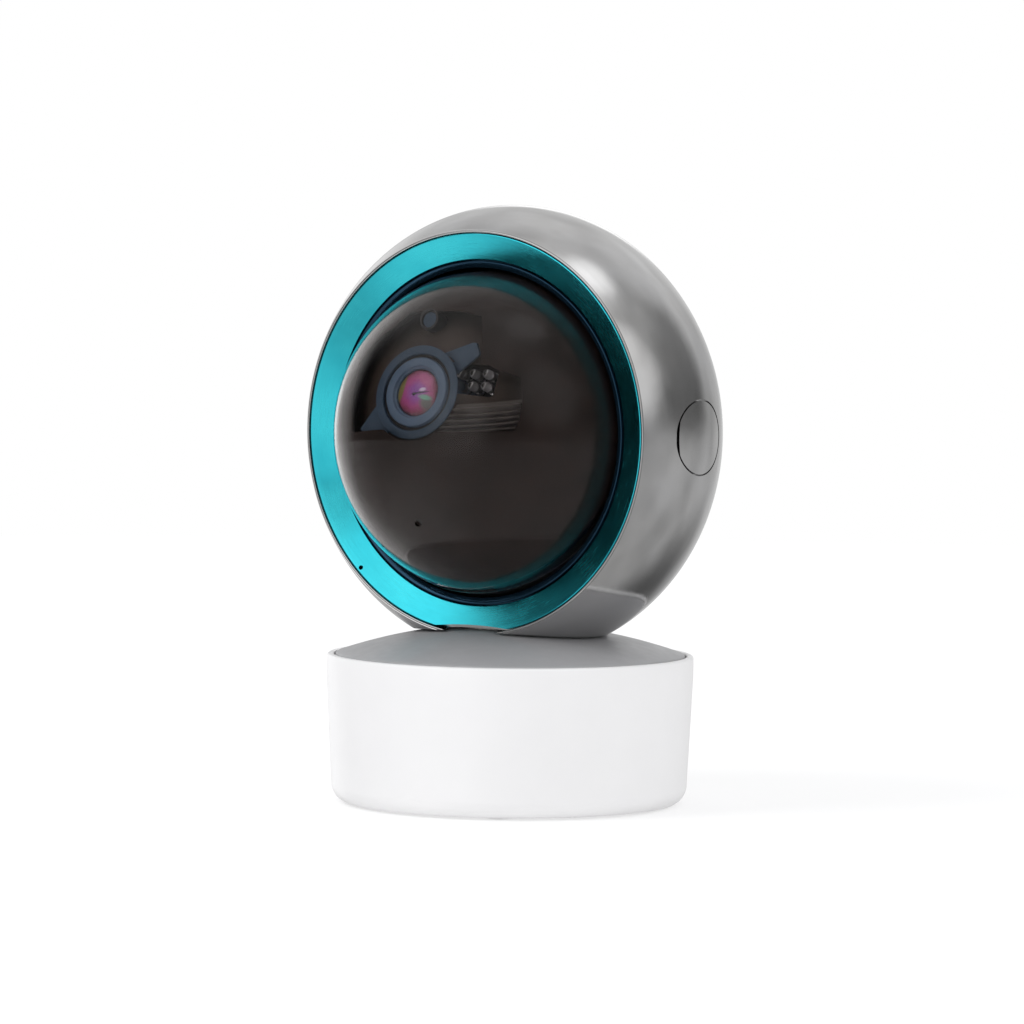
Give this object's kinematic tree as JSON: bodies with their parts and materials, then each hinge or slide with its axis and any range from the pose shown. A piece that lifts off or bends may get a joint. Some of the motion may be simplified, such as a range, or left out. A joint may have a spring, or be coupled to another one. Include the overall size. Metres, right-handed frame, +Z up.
{
  "type": "security camera",
  "caption": "Indoor pan and tilt security camera: a chrome head on a low round base, with a smoked ball holding the lens.",
  "frame": {"origin": "middle of the underside of the base, on the surface it stands on", "axes": "+Z up along the pan axis, -Y towards the front where the lens looks, +X to the right seen from the front viewer facing +Y"},
  "size_m": [0.0844, 0.0696, 0.1117],
  "materials": {
    "white_plastic": "satin white",
    "grey_plastic": "satin grey",
    "rubber": "matt",
    "steel": "plain",
    "circuit_board": "solder resist",
    "slide_plastic": "natural acetal",
    "black_plastic": "fine matt",
    "gloss_black_plastic": "high gloss",
    "chrome_plating": "plated, softly polished",
    "teal_anodised": "teal anodised, polished",
    "smoked_dome": "smoked clear plastic",
    "lens_glass": "coated",
    "bracket_plastic": "blue-grey",
    "brass": "machined"
  },
  "bodies": {
    "base": {"base_shell": "white_plastic", "base_cap": "grey_plastic", "bottom_cover": "white_plastic", "foot_pad": "rubber", "ballast_plate": "steel", "base_screw_1": "steel", "base_screw_2": "steel", "base_screw_3": "steel", "base_board": "circuit_board", "usb_socket": "steel", "loom_socket": "slide_plastic", "speaker": "black_plastic", "pan_motor": "steel", "motor_plate": "steel", "pan_bushing": "slide_plastic"},
    "head": {"head_shell": "chrome_plating", "front_ring": "teal_anodised", "inner_collar": "gloss_black_plastic", "side_cap_left": "chrome_plating", "side_cap_right": "chrome_plating", "side_screw_left": "steel", "side_screw_right": "steel", "yoke": "black_plastic", "pan_spindle": "slide_plastic", "pan_gear": "slide_plastic", "spindle_clip": "steel", "tilt_pivot_left": "steel", "tilt_pivot_right": "steel", "tilt_fixed_gear": "slide_plastic", "ring_microphone": "steel", "wiring_loom": "black_plastic"},
    "ball": {"dome": "smoked_dome", "ball_rear_shell": "black_plastic", "ball_frame": "black_plastic", "main_board": "circuit_board", "shield_can": "steel", "card_socket": "steel", "wifi_antenna": "circuit_board", "image_sensor": "gloss_black_plastic", "lens_holder": "black_plastic", "lens_barrel": "black_plastic", "lens_glass": "lens_glass", "lens_bracket": "bracket_plastic", "bezel": "black_plastic", "louvre": "black_plastic", "ir_board": "circuit_board", "ir_led_1": "lens_glass", "ir_led_2": "lens_glass", "ir_led_3": "lens_glass", "ir_led_4": "lens_glass", "ir_led_5": "lens_glass", "ir_led_6": "lens_glass", "light_sensor": "bracket_plastic", "dome_microphone": "steel", "tilt_motor": "steel"},
    "pan_pinion": {"pan_pinion": "brass"},
    "tilt_pinion": {"tilt_pinion": "brass"},
    "reset_button": {"reset_button": "black_plastic"}
  },
  "joints": [
    {"name": "pan", "type": "hinge", "parent": "base", "child": "head", "pos_m": [0, 0, 0.03], "axis": [0, 0, 1], "range_deg": [-177.5, 177.5]},
    {"name": "tilt", "type": "hinge", "parent": "head", "child": "ball", "pos_m": [0, -0.00452, 0.06943], "axis": [-1, 0, 0], "range_deg": [-46, 44]},
    {"name": "pan_pinion_spin", "type": "hinge", "parent": "base", "child": "pan_pinion", "pos_m": [-0.01556, -0.01556, 0.0195], "axis": [0, 0, 1], "range_deg": [-800, 800]},
    {"name": "tilt_pinion_spin", "type": "hinge", "parent": "ball", "child": "tilt_pinion", "pos_m": [0.0226, 0.00443, 0.07547], "axis": [-1, 0, 0], "range_deg": [-95, 95]},
    {"name": "reset_press", "type": "slide", "parent": "ball", "child": "reset_button", "axis": [0, 0.2756, 0.9613], "range_m": [0, 0.0005], "stiffness_N_per_m": 400}
  ],
  "couplings": [
    {"joint": "pan_pinion_spin", "follows": "pan", "ratio": -4.5},
    {"joint": "tilt_pinion_spin", "follows": "tilt", "ratio": 2}
  ]
}
